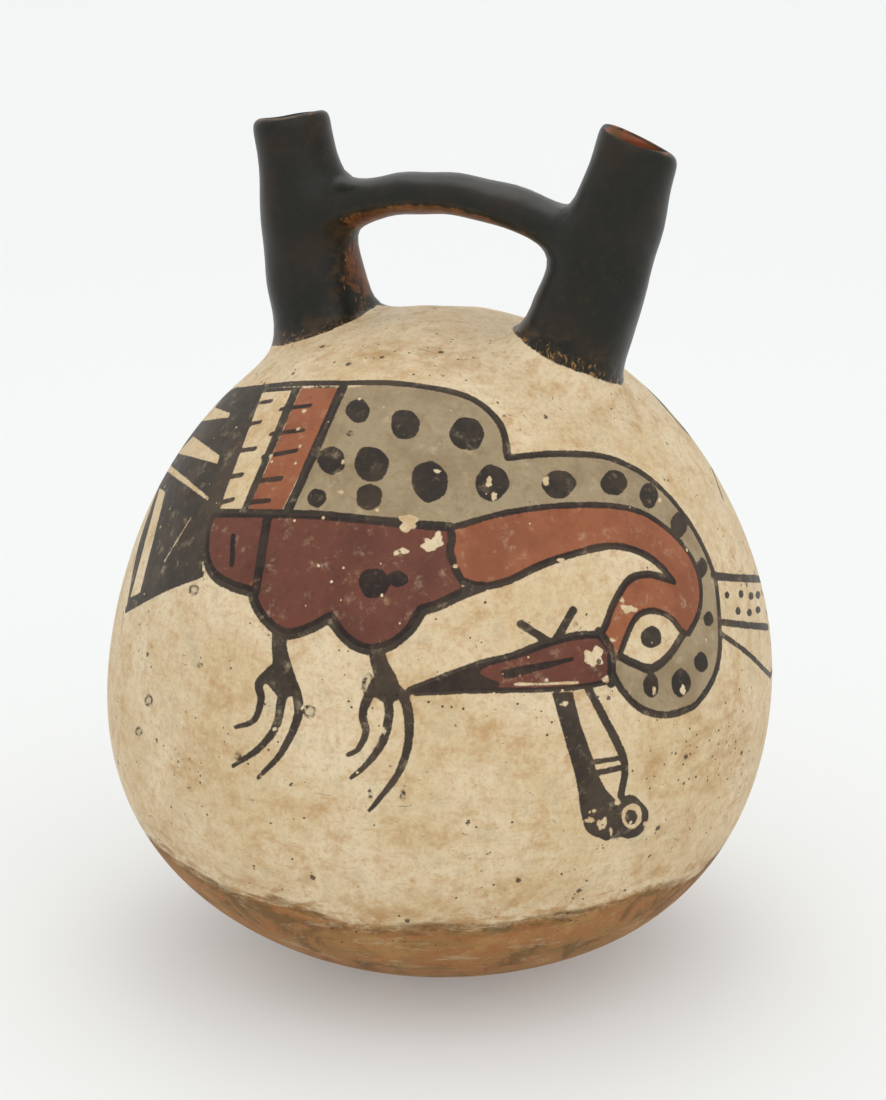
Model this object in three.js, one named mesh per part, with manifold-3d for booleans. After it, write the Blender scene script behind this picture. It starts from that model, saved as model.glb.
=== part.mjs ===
// A hand-built earthenware bottle: a round body with two leaning tubular spouts on its crown,
// joined by an arched bridge that leaves a gap for the fingers. The whole bottle is one piece of
// fired clay, hollow, and open through both spouts.
// Millimetres, +Z up. The origin is the centre of the resting face under the body, +X runs along
// the line of the spouts, and the front is the side that faces -Y.
import * as THREE from 'three';
import { mergeVertices } from 'three/addons/utils/BufferGeometryUtils.js';
import Module from 'manifold-3d';

// Body
const BODY_HEIGHT = 137.6; // resting face to the top of the crown
const BODY_RADIUS = 70.4; // at the belly
const BELLY_HEIGHT = 57.4; // height of the widest place
const BODY_WALL = 5;
const BASE_WEAR = 1; // how much of the round bottom is worn away to the flat resting face
const CROWN_RISE_POWER = 1.9; // 2 is an ellipse, less is more pointed
const CROWN_SPREAD_POWER = 2.1;
const BOTTOM_RISE_POWER = 2.24;
const BOTTOM_SPREAD_POWER = 2.24;

// Spouts
const LEFT_STANCE = 27.4; // from the body's axis to the foot of the spout
const RIGHT_STANCE = 29.6;
const LEFT_LEAN = THREE.MathUtils.degToRad(9.8); // the left spout was set more upright
const RIGHT_LEAN = THREE.MathUtils.degToRad(17.7);
const RIM_RISE = 39; // centre of each rim above the crown
const SPOUT_FOOT_RADIUS = 10.6;
const SPOUT_RIM_RADIUS = 7.9;
const SPOUT_WALL = 2.7;
const SPOUT_FILLET = 6; // reach of the clay smoothed over the joint with the body
const RIM_ROUNDING = 1.5;

// Bridge
const FINGER_GAP = 20.7; // between the crown and the underside of the bridge, in the middle
const BRIDGE_THICKNESS = 8.7;
const BRIDGE_BREADTH = 15;
const LEFT_BRIDGE_DROP = 8; // how far the ends of the arch lie below its middle
const RIGHT_BRIDGE_DROP = 9.5;
const UNDERSIDE_FILLET = 10; // under the arch, where it meets the spouts
const TOPSIDE_FILLET = 3;

// Fineness of the facets
const BODY_SIDES = 64;
const CROWN_STEPS = 19;
const BOTTOM_STEPS = 13;
const CAVITY_SIDES = 40;
const CAVITY_STEPS = 11;
const SPOUT_SIDES = 26;
const BRIDGE_SIDES = 20;
const BRIDGE_STEPS = 24;
const FILLET_STEPS = 4;
const ROUNDING_STEPS = 3;

// Small working allowances for the joins and cuts
const SINK = 0.15; // a fillet's lower edge lies this far inside the surface it runs out on
const ROOT_DEPTH = 4; // how far a spout's blank goes on below that edge
const OVERCUT = 4; // a bore's cutter goes on this far past the rim
const BURIED = 0.4; // the bridge's end ring lies this share of a spout's radius inside its skin

const CLAY = new THREE.MeshStandardMaterial({ color: 0xcdb690, roughness: 0.55, metalness: 0 });

const wasm = await Module();
wasm.setup();

// A closed solid from a closed geometry. Triangles that shrink to a line at a pole are dropped.
function solid(geometry) {
  const bare = geometry.clone();
  bare.deleteAttribute('normal');
  bare.deleteAttribute('uv');
  const merged = mergeVertices(bare, 1e-4);
  const kept = [];
  const index = merged.index.array;
  for (let i = 0; i < index.length; i += 3) {
    const [a, b, c] = [index[i], index[i + 1], index[i + 2]];
    if (a !== b && b !== c && c !== a) kept.push(a, b, c);
  }
  return new wasm.Manifold(new wasm.Mesh({
    numProp: 3,
    vertProperties: new Float32Array(merged.attributes.position.array),
    triVerts: new Uint32Array(kept),
  }));
}

// Rings of points joined by a skin and closed by a point at each end. The rings run
// anticlockwise, seen from the last one.
function loft(first, rings, last) {
  const sides = rings[0].length;
  const points = [first, ...rings.flat(), last];
  const index = [];
  const at = (ring, side) => 1 + ring * sides + (side % sides);
  for (let side = 0; side < sides; side++) {
    index.push(0, at(0, side + 1), at(0, side));
    for (let ring = 0; ring + 1 < rings.length; ring++) {
      index.push(at(ring, side), at(ring, side + 1), at(ring + 1, side + 1));
      index.push(at(ring, side), at(ring + 1, side + 1), at(ring + 1, side));
    }
    index.push(points.length - 1, at(rings.length - 1, side), at(rings.length - 1, side + 1));
  }
  const geometry = new THREE.BufferGeometry().setFromPoints(points);
  geometry.setIndex(index);
  return geometry;
}

function turnedAboutZ(outline, sides) {
  return new THREE.LatheGeometry(outline, sides).rotateX(Math.PI / 2);
}

// The body's outline is a superellipse above the belly and another one below it. turn runs from
// -90 degrees at the bottom pole, through 0 at the belly, to 90 degrees at the crown.
function outlinePoint(turn) {
  const upper = turn >= 0;
  const rise = upper ? BODY_HEIGHT - BELLY_HEIGHT : BELLY_HEIGHT + BASE_WEAR;
  const risePower = upper ? CROWN_RISE_POWER : BOTTOM_RISE_POWER;
  const spreadPower = upper ? CROWN_SPREAD_POWER : BOTTOM_SPREAD_POWER;
  const radius = BODY_RADIUS * Math.abs(Math.cos(turn)) ** (2 / spreadPower);
  const height = rise * Math.abs(Math.sin(turn)) ** (2 / risePower);
  return new THREE.Vector2(radius, BELLY_HEIGHT + (upper ? height : -height));
}

// The turn at which the outline crosses the resting face.
function restingTurn() {
  const share = BELLY_HEIGHT / (BELLY_HEIGHT + BASE_WEAR);
  return -Math.asin(share ** (BOTTOM_RISE_POWER / 2));
}

// The same outline, moved inwards by the thickness of the wall.
function innerPoint(turn) {
  const step = 1e-4;
  const clamp = (value) => THREE.MathUtils.clamp(value, -Math.PI / 2, Math.PI / 2);
  const here = outlinePoint(turn);
  const along = outlinePoint(clamp(turn + step)).sub(outlinePoint(clamp(turn - step))).normalize();
  return new THREE.Vector2(here.x - along.y * BODY_WALL, here.y + along.x * BODY_WALL);
}

function bodyOutline() {
  const points = [new THREE.Vector2(0, 0)];
  const start = restingTurn();
  for (let i = 0; i <= BOTTOM_STEPS; i++) {
    points.push(outlinePoint(start * (1 - i / BOTTOM_STEPS)));
  }
  points[1].y = 0;
  for (let i = 1; i < CROWN_STEPS; i++) {
    points.push(outlinePoint((Math.PI / 2) * (i / CROWN_STEPS)));
  }
  points.push(new THREE.Vector2(0, BODY_HEIGHT));
  return points;
}

function cavityOutline() {
  const points = [new THREE.Vector2(0, BODY_WALL - BASE_WEAR)];
  for (let i = 1; i < 2 * CAVITY_STEPS; i++) {
    points.push(innerPoint((Math.PI / 2) * (i / CAVITY_STEPS - 1)));
  }
  points.push(new THREE.Vector2(0, BODY_HEIGHT - BODY_WALL));
  return points;
}

// Height of the crown's surface above the point (x, y).
function crownHeight(x, y) {
  const spread = Math.min(1, Math.hypot(x, y) / BODY_RADIUS);
  const rise = (1 - spread ** CROWN_SPREAD_POWER) ** (1 / CROWN_RISE_POWER);
  return BELLY_HEIGHT + (BODY_HEIGHT - BELLY_HEIGHT) * rise;
}

// A spout's own directions: up its axis, across it in the plane of both spouts, and its foot,
// where the axis comes out of the crown. side is -1 on the left and 1 on the right.
function spoutPlan(side, stance, lean) {
  const foot = new THREE.Vector3(side * stance, 0, crownHeight(stance, 0));
  const up = new THREE.Vector3(side * Math.sin(lean), 0, Math.cos(lean));
  const across = new THREE.Vector3(Math.cos(lean), 0, -side * Math.sin(lean));
  const length = (BODY_HEIGHT + RIM_RISE - foot.z) / Math.cos(lean);
  const radiusAt = (h) => THREE.MathUtils.lerp(SPOUT_FOOT_RADIUS, SPOUT_RIM_RADIUS, h / length);
  const direction = (angle) => across.clone().multiplyScalar(Math.cos(angle))
    .add(new THREE.Vector3(0, Math.sin(angle), 0));
  const point = (h, angle, radius) => foot.clone().addScaledVector(up, h)
    .addScaledVector(direction(angle), radius);
  return { foot, up, length, radiusAt, direction, point };
}

// Where one straight line down a spout's side meets the crown, as a height along the axis.
function meetsCrown(plan, angle) {
  let low = -2 * SPOUT_FOOT_RADIUS;
  let high = 2 * SPOUT_FOOT_RADIUS;
  for (let i = 0; i < 40; i++) {
    const middle = (low + high) / 2;
    const p = plan.point(middle, angle, plan.radiusAt(middle));
    if (p.z > crownHeight(p.x, p.y)) high = middle;
    else low = middle;
  }
  return (low + high) / 2;
}

// The lines that run down a spout's side, over its fillet and into the body, one for each side.
function spoutLine(plan, angle) {
  const corner = meetsCrown(plan, angle);
  const above = corner + SPOUT_FILLET;
  const joint = plan.point(corner, angle, plan.radiusAt(corner));
  const start = plan.point(above, angle, plan.radiusAt(above));
  const end = joint.clone().addScaledVector(plan.direction(angle), SPOUT_FILLET);
  end.z = crownHeight(end.x, end.y) - SINK;
  const fillet = new THREE.QuadraticBezierCurve3(end, joint, start);
  const line = [end.clone().setZ(end.z - ROOT_DEPTH)];
  for (let i = 0; i <= FILLET_STEPS; i++) line.push(fillet.getPoint(i / FILLET_STEPS));
  const shoulder = plan.length - RIM_ROUNDING;
  for (let i = 0; i <= ROUNDING_STEPS; i++) {
    const turn = (Math.PI / 2) * (i / ROUNDING_STEPS);
    const inset = RIM_ROUNDING * (1 - Math.cos(turn));
    line.push(plan.point(shoulder + RIM_ROUNDING * Math.sin(turn), angle,
      plan.radiusAt(shoulder) - inset));
  }
  return line;
}

function spoutBlank(plan) {
  const lines = [];
  for (let i = 0; i < SPOUT_SIDES; i++) {
    lines.push(spoutLine(plan, (2 * Math.PI * i) / SPOUT_SIDES));
  }
  const rings = lines[0].map((_, step) => lines.map((line) => line[step]));
  const root = plan.point(-2 * ROOT_DEPTH, 0, 0);
  return solid(loft(root, rings, plan.point(plan.length, 0, 0)));
}

// What the bore of a spout cuts away, from inside the body's hollow to past the rim.
function boreCutter(plan) {
  const dip = 2 * BODY_WALL + SPOUT_FOOT_RADIUS;
  const top = plan.length + OVERCUT;
  const radiusAt = (h) => plan.radiusAt(h) - SPOUT_WALL;
  const cutter = new THREE.CylinderGeometry(radiusAt(top), radiusAt(-dip), top + dip, SPOUT_SIDES);
  const middle = plan.point((top - dip) / 2, 0, 0);
  const turn = new THREE.Quaternion().setFromUnitVectors(new THREE.Vector3(0, 1, 0), plan.up);
  return solid(cutter.applyQuaternion(turn).translate(middle.x, middle.y, middle.z));
}

// How far a point is from a spout's skin, less than 0 inside it.
function outsideSpout(plan, point) {
  const reach = point.clone().sub(plan.foot);
  const h = reach.dot(plan.up);
  return reach.addScaledVector(plan.up, -h).length() - plan.radiusAt(h);
}

// How far a quarter-round fillet stands out, a distance away from the wall that it runs up to.
function filletDepth(radius, away) {
  const inside = THREE.MathUtils.clamp(away, 0, radius);
  return radius - Math.sqrt(radius ** 2 - (radius - inside) ** 2);
}

function bridgeLine(left, right) {
  const middle = BODY_HEIGHT + FINGER_GAP + BRIDGE_THICKNESS / 2;
  const onAxis = (plan, height) => plan.foot.clone()
    .addScaledVector(plan.up, (height - plan.foot.z) / plan.up.z);
  const start = onAxis(left, middle - LEFT_BRIDGE_DROP);
  const end = onAxis(right, middle - RIGHT_BRIDGE_DROP);
  const span = end.x - start.x;
  // Control points this high put the middle of the arch at its stated height.
  const control = (end, share) => new THREE.Vector3(start.x + span * share, 0,
    (4 * middle - end.z) / 3);
  return new THREE.CubicBezierCurve3(start, control(start, 1 / 3), control(end, 2 / 3), end);
}

// One ring of the bridge's skin: an oval, with the fillets added above and below. Near a spout
// the ring lies along that spout's axis, so that the fillets run down its side.
function bridgeRing(centre, along, upwards, spouts) {
  const breadthwise = new THREE.Vector3(0, 1, 0);
  const squareness = along.clone().cross(breadthwise).dot(upwards);
  const halfHeight = BRIDGE_THICKNESS / 2 / squareness;
  const ring = [];
  for (let k = 0; k < BRIDGE_SIDES; k++) {
    const angle = (2 * Math.PI * k) / BRIDGE_SIDES;
    const point = centre.clone()
      .addScaledVector(breadthwise, (Math.cos(angle) * BRIDGE_BREADTH) / 2)
      .addScaledVector(upwards, Math.sin(angle) * halfHeight);
    const away = Math.min(...spouts.map((plan) => outsideSpout(plan, point)));
    const fillet = Math.sin(angle) > 0 ? TOPSIDE_FILLET : UNDERSIDE_FILLET;
    ring.push(point.addScaledVector(upwards, Math.sin(angle) * filletDepth(fillet, away)));
  }
  return ring;
}

function bridgeBlank(left, right) {
  const line = bridgeLine(left, right);
  const buried = ((1 - BURIED) * SPOUT_RIM_RADIUS) / line.getLength();
  const rings = [];
  for (let i = 0; i <= BRIDGE_STEPS; i++) {
    // The rings stand closer together towards the fillets.
    const share = (1 - Math.cos((Math.PI * i) / BRIDGE_STEPS)) / 2;
    const at = THREE.MathUtils.lerp(buried, 1 - buried, share);
    const upwards = left.up.clone().lerp(right.up, share).normalize();
    rings.push(bridgeRing(line.getPointAt(at), line.getTangentAt(at), upwards, [left, right]));
  }
  return solid(loft(line.getPoint(0), rings, line.getPoint(1)));
}

function meshOf(name, manifold, material) {
  const { vertProperties, triVerts, numProp } = manifold.getMesh();
  const geometry = new THREE.BufferGeometry();
  const positions = new THREE.InterleavedBuffer(vertProperties, numProp);
  geometry.setAttribute('position', new THREE.InterleavedBufferAttribute(positions, 3, 0));
  geometry.setIndex(new THREE.BufferAttribute(triVerts, 1));
  geometry.computeVertexNormals();
  const mesh = new THREE.Mesh(geometry, material);
  mesh.name = name;
  return mesh;
}

const leftSpout = spoutPlan(-1, LEFT_STANCE, LEFT_LEAN);
const rightSpout = spoutPlan(1, RIGHT_STANCE, RIGHT_LEAN);

const outside = solid(turnedAboutZ(bodyOutline(), BODY_SIDES))
  .add(spoutBlank(leftSpout))
  .add(spoutBlank(rightSpout))
  .add(bridgeBlank(leftSpout, rightSpout));
const hollow = solid(turnedAboutZ(cavityOutline(), CAVITY_SIDES))
  .add(boreCutter(leftSpout))
  .add(boreCutter(rightSpout));

const bottle = new THREE.Group();
bottle.add(meshOf('bottle', outside.subtract(hollow), CLAY));

export default bottle;
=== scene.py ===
# A painted earthenware bottle with two leaning spouts and an arched bridge: its finished
# surface, its slips and painted birds, the light and the camera.
import math

import bpy
import numpy as np
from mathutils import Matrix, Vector


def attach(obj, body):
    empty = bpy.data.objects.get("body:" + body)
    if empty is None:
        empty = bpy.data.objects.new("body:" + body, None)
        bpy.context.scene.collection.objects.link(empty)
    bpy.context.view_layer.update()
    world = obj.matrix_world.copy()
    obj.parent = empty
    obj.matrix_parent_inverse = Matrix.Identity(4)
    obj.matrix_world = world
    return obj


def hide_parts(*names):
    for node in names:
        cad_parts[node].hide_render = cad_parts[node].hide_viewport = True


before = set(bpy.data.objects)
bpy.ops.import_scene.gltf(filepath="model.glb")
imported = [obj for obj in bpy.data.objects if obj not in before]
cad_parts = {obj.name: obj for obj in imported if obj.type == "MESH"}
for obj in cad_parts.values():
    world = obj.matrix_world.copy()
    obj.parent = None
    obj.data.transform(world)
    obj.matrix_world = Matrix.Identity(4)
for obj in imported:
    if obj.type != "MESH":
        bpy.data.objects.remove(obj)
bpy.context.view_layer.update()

# Shapes are worked out in millimetres and made in metres.
MILLIMETRE = 0.001

# Body
BODY_HEIGHT = 137.6
BODY_RADIUS = 70.4
BELLY_HEIGHT = 57.4
BODY_WALL = 5
BASE_WEAR = 1
BASE_ROUNDING = 1.5
CROWN_RISE_POWER = 1.9
CROWN_SPREAD_POWER = 2.1
BOTTOM_POWER = 2.24

# Spouts: stance, lean, bow of the axis outwards, and how much further the rim tilts than the axis
LEFT_SPOUT = (-26.9, math.radians(10.1), 10.3, 0.2, math.radians(0), -0.02)
RIGHT_SPOUT = (28.9, math.radians(18.5), 11.4, 0.7, math.radians(3.5), 0.23)
RIM_RISE = 39
SPOUT_RIM_RADIUS = 8.1
SPOUT_WALL = 2.7
SPOUT_ROOT = 16
SPOUT_BLEND = 9
RIM_ROUNDING = 3.6
LIP_FLARE = 1.1
LIP_DEPTH = 2.2
# Rings of the bore round the lip: from, to (in lip depths) and how many
LIP_RINGS = (-0.8, 1.6, 4)

# Bridge
FINGER_GAP = 20.7
BRIDGE_THICKNESS = 8.7
BRIDGE_BREADTH = 15
LEFT_BRIDGE_DROP = 8
RIGHT_BRIDGE_DROP = 9.5
BRIDGE_BLEND = 9

# What a hand leaves: broad swells of the whole wall and finer dents on the spouts and bridge
SWELLS = (46, 58, 71, 83, 64)
SWELL_HEIGHT = 0.9
DENTS = (9, 12, 15, 19, 13, 17)
DENT_HEIGHT = 0.55
DENTS_START = 130
DENTS_FULL = 142
EVEN_FOOT = 14

# Fineness of the work
SLOPE_STEP = 0.02
SIGHT_STEPS = 60
SIGHT_STRIDE = 0.8
NEAR_PIXELS = 18
DAB_CORNERS = 28
AXIS_POINTS = 16
ARCH_POINTS = 26
SPOUT_RINGS = 14
ROUGH_BODY = (40, 72)
CAVITY = (26, 44)
SPOUT_SIDES = 28
BRIDGE_SIDES = 24
BORE_SIDES = 36
SKIN_CELL = 2.1
LINE_REACH = 0.8
LINE_SPLITS = 2
SETTLE_ROUNDS = 4
RELAX_ROUNDS = 6
LIP_MIDDLE = 2
LIP_REACH = 3
FIELD_LIMIT = 12

# The photograph's camera
PHOTO_WIDTH = 886
PHOTO_HEIGHT = 1100
VIEW_TURN = math.radians(27)
VIEW_DROP = math.radians(16)
VIEW_DISTANCE = 650
LOOK_HEIGHT = 86.9
FOCAL_PIXELS = 3083
AXIS_COLUMN = 440
LOOK_ROW = 550
SENSOR = 36


# Shape of the bottle, as distances from its skin

def smooth_min(a, b, reach):
    blend = np.maximum(reach - np.abs(a - b), 0) / reach
    return np.minimum(a, b) - blend**3 * reach / 6


def smooth_max(a, b, reach):
    return -smooth_min(-a, -b, reach)


def ease(value, low, high):
    share = np.clip((value - low) / (high - low), 0, 1)
    return share * share * (3 - 2 * share)


def crown_height(x):
    spread = abs(x) / BODY_RADIUS
    rise = (1 - spread**CROWN_SPREAD_POWER) ** (1 / CROWN_RISE_POWER)
    return BELLY_HEIGHT + (BODY_HEIGHT - BELLY_HEIGHT) * rise


def body_distance(p):
    """How far points lie outside the body, less than 0 inside it."""
    rise = p[:, 2] - BELLY_HEIGHT
    upper = rise >= 0
    half_height = np.where(upper, BODY_HEIGHT - BELLY_HEIGHT, BELLY_HEIGHT + BASE_WEAR)
    spread_power = np.where(upper, CROWN_SPREAD_POWER, BOTTOM_POWER)
    rise_power = np.where(upper, CROWN_RISE_POWER, BOTTOM_POWER)
    u = np.hypot(p[:, 0], p[:, 1]) / BODY_RADIUS
    v = np.abs(rise) / half_height
    level = u**spread_power + v**rise_power
    slope = np.hypot(spread_power * u ** (spread_power - 1) / BODY_RADIUS,
                     rise_power * v ** (rise_power - 1) / half_height)
    return (level - 1) / np.maximum(slope, 0.4 / BODY_RADIUS)


def along_line(p, line):
    """Distance from points to a line of straight pieces, how far along it the nearest place
    is, and the nearest place."""
    best = np.full(len(p), np.inf)
    where = np.zeros(len(p))
    nearest = np.zeros((len(p), 3))
    travelled = 0.0
    for start, end in zip(line[:-1], line[1:]):
        step = end - start
        length = np.linalg.norm(step)
        share = np.clip((p - start) @ step / length**2, 0, 1)
        place = start + share[:, None] * step
        away = np.linalg.norm(p - place, axis=1)
        closer = away < best
        best[closer] = away[closer]
        where[closer] = travelled + share[closer] * length
        nearest[closer] = place[closer]
        travelled += length
    return best, where, nearest


class Spout:
    """One spout: its bowed axis, its taper and its rim."""

    def __init__(self, stance, lean, foot_radius, bow, rim_tilt, rim_fall):
        self.foot_radius = foot_radius
        side = math.copysign(1, stance)
        self.foot = np.array([stance, 0, crown_height(stance)])
        self.up = np.array([side * math.sin(lean), 0, math.cos(lean)])
        across = np.array([side * math.cos(lean), 0, -math.sin(lean)])
        self.length = (BODY_HEIGHT + RIM_RISE - self.foot[2]) / self.up[2]
        rim_up = np.array([side * math.sin(lean + rim_tilt), rim_fall,
                           math.cos(lean + rim_tilt)])
        self.rim_up = rim_up / np.linalg.norm(rim_up)
        self.rim = self.foot + self.up * self.length
        heights = np.linspace(-SPOUT_ROOT, self.length + RIM_ROUNDING * 2, AXIS_POINTS)
        bowing = bow * (1 - (2 * heights / self.length - 1) ** 2)
        self.axis = self.foot + heights[:, None] * self.up + bowing[:, None] * across

    def radius(self, travelled):
        share = (travelled - SPOUT_ROOT) / self.length
        return self.foot_radius + (SPOUT_RIM_RADIUS - self.foot_radius) * share

    def distance(self, p):
        away, travelled, _ = along_line(p, self.axis)
        past_rim = (p - self.rim) @ self.rim_up
        return smooth_max(away - self.radius(travelled), past_rim, RIM_ROUNDING)


left_spout = Spout(*LEFT_SPOUT)
right_spout = Spout(*RIGHT_SPOUT)


def bridge_line():
    middle = BODY_HEIGHT + FINGER_GAP + BRIDGE_THICKNESS / 2
    ends = []
    for spout, drop in ((left_spout, LEFT_BRIDGE_DROP), (right_spout, RIGHT_BRIDGE_DROP)):
        rise = (middle - drop - spout.foot[2]) / spout.up[2]
        ends.append(spout.foot + rise * spout.up)
    start, end = ends
    # Control points this high put the middle of the arch at its stated height.
    first = start + (end - start) / 3
    second = start + (end - start) * 2 / 3
    first[2] = (4 * middle - start[2]) / 3
    second[2] = (4 * middle - end[2]) / 3
    t = np.linspace(0, 1, ARCH_POINTS)[:, None]
    return ((1 - t) ** 3 * start + 3 * (1 - t) ** 2 * t * first
            + 3 * (1 - t) * t**2 * second + t**3 * end)


arch = bridge_line()


def bridge_distance(p):
    _, _, nearest = along_line(p, arch)
    out = p - nearest
    u = np.abs(out[:, 1]) / (BRIDGE_BREADTH / 2)
    v = np.hypot(out[:, 0], out[:, 2]) / (BRIDGE_THICKNESS / 2)
    level = np.hypot(u, v)
    slope = np.hypot(u / (BRIDGE_BREADTH / 2), v / (BRIDGE_THICKNESS / 2))
    return (level - 1) * level / np.maximum(slope, 0.02)


def waves(p, lengths, height, seed):
    """Low waves in every direction, as a hand leaves them."""
    dice = np.random.default_rng(seed)
    total = np.zeros(len(p))
    for length in lengths:
        direction = dice.normal(size=3)
        direction /= np.linalg.norm(direction)
        total += np.sin(p @ direction * (2 * math.pi / length) + dice.uniform(0, 2 * math.pi))
    return total * height / len(lengths)


def unevenness(p):
    on_handle = ease(p[:, 2], DENTS_START, DENTS_FULL)
    swells = waves(p, SWELLS, SWELL_HEIGHT, seed=3)
    dents = waves(p, DENTS, DENT_HEIGHT, seed=8)
    return (swells + dents * on_handle) * ease(p[:, 2], BASE_WEAR, EVEN_FOOT)


def skin_distance(p):
    spouts = np.minimum(left_spout.distance(p), right_spout.distance(p))
    handle = smooth_min(spouts, bridge_distance(p), BRIDGE_BLEND)
    skin = smooth_min(body_distance(p), handle, SPOUT_BLEND)
    return smooth_max(skin, -p[:, 2], BASE_ROUNDING) + unevenness(p)


def slopes(p, distance, values):
    """The direction in which a distance grows at each point."""
    found = np.empty_like(p)
    for axis in range(3):
        moved = p.copy()
        moved[:, axis] += SLOPE_STEP
        found[:, axis] = (distance(moved) - values) / SLOPE_STEP
    return found


def settle(p, rounds):
    """Moves points straight onto the skin."""
    for _ in range(rounds):
        values = skin_distance(p)
        slope = slopes(p, skin_distance, values)
        p = p - (values / np.maximum((slope**2).sum(1), 0.1))[:, None] * slope
    return p


# Meshes

def mesh_object(name, points, faces):
    mesh = bpy.data.meshes.new(name)
    mesh.from_pydata([tuple(p) for p in points], [], [tuple(f) for f in faces])
    mesh.update()
    made = bpy.data.objects.new(name, mesh)
    bpy.context.scene.collection.objects.link(made)
    return made


def tube(name, line, breadths, heights, sides):
    """A closed tube of oval rings along a line in the XZ plane."""
    points = [line[0], line[-1]]
    faces = []
    for i, centre in enumerate(line):
        ahead = line[min(i + 1, len(line) - 1)] - line[max(i - 1, 0)]
        ahead = ahead / np.linalg.norm(ahead)
        outwards = np.cross(ahead, (0, 1, 0))
        for k in range(sides):
            turn = 2 * math.pi * k / sides
            points.append(centre + math.cos(turn) * breadths[i] * np.array([0, 1, 0])
                          + math.sin(turn) * heights[i] * outwards)
    last = 2 + (len(line) - 1) * sides
    for k in range(sides):
        after = (k + 1) % sides
        faces.append((0, 2 + k, 2 + after))
        faces.append((1, last + after, last + k))
        for i in range(len(line) - 1):
            low = 2 + i * sides
            faces.append((low + k, low + sides + k, low + sides + after, low + after))
    made = mesh_object(name, points, faces)
    set_outwards(made)
    return made


def set_outwards(piece):
    """Turns the faces of a closed mesh outwards."""
    points = np.array([v.co for v in piece.data.vertices])
    volume = 0.0
    piece.data.calc_loop_triangles()
    for triangle in piece.data.loop_triangles:
        a, b, c = points[list(triangle.vertices)]
        volume += a @ np.cross(b, c)
    if volume < 0:
        piece.data.flip_normals()


def outline(inset, steps):
    """Height and radius up the body's side, moved inwards."""
    turns = np.linspace(-math.pi / 2, math.pi / 2, steps)
    upper = turns >= 0
    half_height = np.where(upper, BODY_HEIGHT - BELLY_HEIGHT, BELLY_HEIGHT + BASE_WEAR) - inset
    rise_power = np.where(upper, CROWN_RISE_POWER, BOTTOM_POWER)
    spread_power = np.where(upper, CROWN_SPREAD_POWER, BOTTOM_POWER)
    lifts = np.sign(turns) * half_height * np.abs(np.sin(turns)) ** (2 / rise_power)
    radii = (BODY_RADIUS - inset) * np.abs(np.cos(turns)) ** (2 / spread_power)
    return BELLY_HEIGHT + lifts, radii


def round_body(name, inset, steps, sides):
    heights, radii = outline(inset, steps)
    line = np.array([(0, 0, height) for height in heights[1:-1]])
    return tube(name, line, radii[1:-1], radii[1:-1], sides)


def evaluated(piece):
    """Corners and faces of a piece with its modifiers."""
    graph = bpy.context.evaluated_depsgraph_get()
    shown = piece.evaluated_get(graph)
    mesh = shown.to_mesh()
    mesh.calc_loop_triangles()
    points = np.empty(len(mesh.vertices) * 3)
    mesh.vertices.foreach_get("co", points)
    triangles = np.empty(len(mesh.loop_triangles) * 3, np.int64)
    mesh.loop_triangles.foreach_get("vertices", triangles)
    shown.to_mesh_clear()
    return points.reshape(-1, 3), triangles.reshape(-1, 3)


def rough_skin():
    """The parts of the bottle fused into one closed skin of even cells."""
    parts = [round_body("rough_body", 0, *ROUGH_BODY)]
    for spout in (left_spout, right_spout):
        heights = np.linspace(0, SPOUT_ROOT + spout.length, SPOUT_RINGS)
        line = spout.foot + (heights - SPOUT_ROOT)[:, None] * spout.up
        radii = spout.radius(heights)
        parts.append(tube("rough_spout", line, radii, radii, SPOUT_SIDES))
    ring = np.full(len(arch), 1.0)
    parts.append(tube("rough_bridge", arch, ring * BRIDGE_BREADTH / 2,
                      ring * BRIDGE_THICKNESS / 2, BRIDGE_SIDES))
    points, faces = [], []
    for part in parts:
        start = len(points)
        points += [tuple(v.co) for v in part.data.vertices]
        faces += [tuple(start + i for i in f.vertices) for f in part.data.polygons]
        bpy.data.objects.remove(part)
    fused = mesh_object("rough_skin", points, faces)
    remesh = fused.modifiers.new("fuse", "REMESH")
    remesh.mode = "VOXEL"
    remesh.voxel_size = SKIN_CELL
    points, triangles = evaluated(fused)
    bpy.data.objects.remove(fused)
    return points, triangles


def edges_of(triangles):
    """Each edge once, and the three edges of each triangle as places in that list."""
    pairs = np.concatenate([triangles[:, [0, 1]], triangles[:, [1, 2]], triangles[:, [2, 0]]])
    pairs.sort(axis=1)
    edges, places = np.unique(pairs, axis=0, return_inverse=True)
    return edges, places.reshape(3, -1).T


def relax(points, triangles, rounds):
    """Evens out the skin's cells without leaving the skin."""
    edges, _ = edges_of(triangles)
    count = np.bincount(edges.ravel(), minlength=len(points))
    for _ in range(rounds):
        middle = np.empty_like(points)
        for axis in range(3):
            total = np.bincount(edges[:, 0], points[edges[:, 1], axis], len(points))
            total += np.bincount(edges[:, 1], points[edges[:, 0], axis], len(points))
            middle[:, axis] = total / count
        points = settle(points + 0.5 * (middle - points), 1)
    return points


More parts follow.
